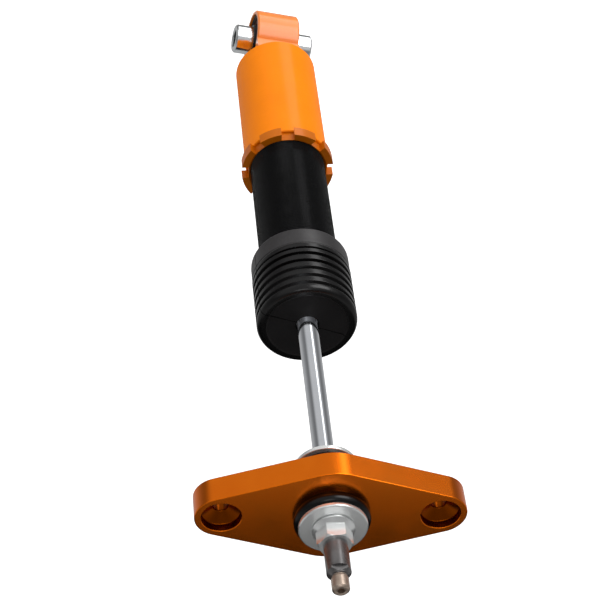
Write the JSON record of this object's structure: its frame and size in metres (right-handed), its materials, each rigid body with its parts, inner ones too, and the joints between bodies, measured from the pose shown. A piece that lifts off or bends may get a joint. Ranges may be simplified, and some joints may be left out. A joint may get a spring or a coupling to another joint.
{
  "type": "coilover damper",
  "caption": "Height-adjustable rear damper: eye bracket with lock ring, threaded body, ribbed rubber boot, chromed rod and a diamond top plate on rubber bushes.",
  "frame": {"origin": "centre of the lower eye's bore, on the damper's axis", "axes": "+Z along the damper's axis, from the lower eye to the rod end; X along the top plate's two bolt holes; the eye's own axis lies in XY, turned -10 degrees from X"},
  "size_m": [0.1544, 0.0696, 0.5317],
  "materials": {
    "orange_anodised": "satin orange anodising on turned aluminium",
    "plate_anodised": "copper-orange anodising on milled aluminium",
    "black_coated_steel": "semi-gloss black over a fine rolled thread",
    "rubber": "moulded rubber, satin",
    "zinc_plated_steel": "bright zinc plating",
    "hard_chrome": "ground and polished hard chrome",
    "plain_steel": "oiled plain steel",
    "sintered_iron": "steam-treated sintered iron",
    "ptfe": "bronze-filled PTFE",
    "bump_plastic": "moulded polyamide",
    "nickel_plated_brass": "dull nickel plating, brownish"
  },
  "bodies": {
    "eye_sleeve": {"eye_sleeve": "zinc_plated_steel"},
    "bracket": {"lower_bracket": "orange_anodised", "eye_bush": "rubber"},
    "lock_ring": {"lock_ring": "orange_anodised"},
    "boot": {"boot": "rubber"},
    "damper_body": {"body_tube": "black_coated_steel", "base_cap": "plain_steel", "inner_cylinder": "plain_steel", "foot_valve_body": "sintered_iron", "foot_valve_disc": "plain_steel", "foot_valve_rivet": "plain_steel", "rod_guide": "sintered_iron", "guide_o_ring": "rubber", "guide_bush": "ptfe", "rod_seal": "rubber", "gland_nut": "plain_steel"},
    "piston_band": {"piston_band": "ptfe"},
    "rod": {"piston_rod": "hard_chrome", "piston": "sintered_iron", "compression_shims": "plain_steel", "rebound_shims": "plain_steel", "piston_backing_washer": "plain_steel", "piston_nut": "plain_steel", "rebound_stop": "bump_plastic", "snap_ring": "plain_steel", "lower_washer": "zinc_plated_steel", "upper_washer": "zinc_plated_steel", "crush_sleeve": "plain_steel", "flange_nut": "zinc_plated_steel"},
    "needle": {"adjuster_needle": "plain_steel", "needle_o_ring": "rubber"},
    "adjuster": {"adjuster_screw": "nickel_plated_brass"},
    "top_bushes": {"lower_top_bush": "rubber", "upper_top_bush": "rubber"},
    "top_plate": {"mount_plate": "plate_anodised"}
  },
  "joints": [
    {"name": "eye_swing", "type": "hinge", "parent": "eye_sleeve", "child": "bracket", "pos_m": [0, 0, 0], "axis": [0.9848, -0.1736, 0], "range_deg": [-15, 15], "stiffness_Nm_per_rad": 40},
    {"name": "lock_ring_travel", "type": "slide", "parent": "bracket", "child": "lock_ring", "axis": [0, 0, 1], "range_m": [0, 0.06]},
    {"name": "height_travel", "type": "slide", "parent": "bracket", "child": "boot", "axis": [0, 0, 1], "range_m": [-0.015, 0.03]},
    {"name": "body_turn", "type": "hinge", "parent": "boot", "child": "damper_body", "pos_m": [0, 0, 0], "axis": [0, 0, 1], "range_deg": [-3600, 7200]},
    {"name": "stroke", "type": "slide", "parent": "boot", "child": "piston_band", "axis": [0, 0, 1], "range_m": [-0.11, 0], "stiffness_N_per_m": 300, "springref_m": 0.4},
    {"name": "rod_turn", "type": "hinge", "parent": "piston_band", "child": "rod", "pos_m": [0, 0, 0], "axis": [0, 0, 1], "continuous": true},
    {"name": "adjuster_turn", "type": "hinge", "parent": "rod", "child": "adjuster", "pos_m": [0, 0, 0], "axis": [0, 0, 1], "range_deg": [-540, 540]},
    {"name": "needle_travel", "type": "slide", "parent": "rod", "child": "needle", "axis": [0, 0, 1], "range_m": [-0.0015, 0.0015]},
    {"name": "plate_pitch", "type": "hinge", "parent": "rod", "child": "top_bushes", "pos_m": [0, 0, 0.44725], "axis": [1, 0, 0], "range_deg": [-4, 4], "stiffness_Nm_per_rad": 60, "deforming": ["lower_top_bush", "upper_top_bush"]},
    {"name": "plate_roll", "type": "hinge", "parent": "top_bushes", "child": "top_plate", "pos_m": [0, 0, 0.44725], "axis": [0, 1, 0], "range_deg": [-4, 4], "stiffness_Nm_per_rad": 60}
  ],
  "couplings": [
    {"joint": "height_travel", "follows": "body_turn", "m_per_rad": 0.00023873},
    {"joint": "adjuster_turn", "follows": "needle_travel", "rad_per_m": 6283.2}
  ]
}
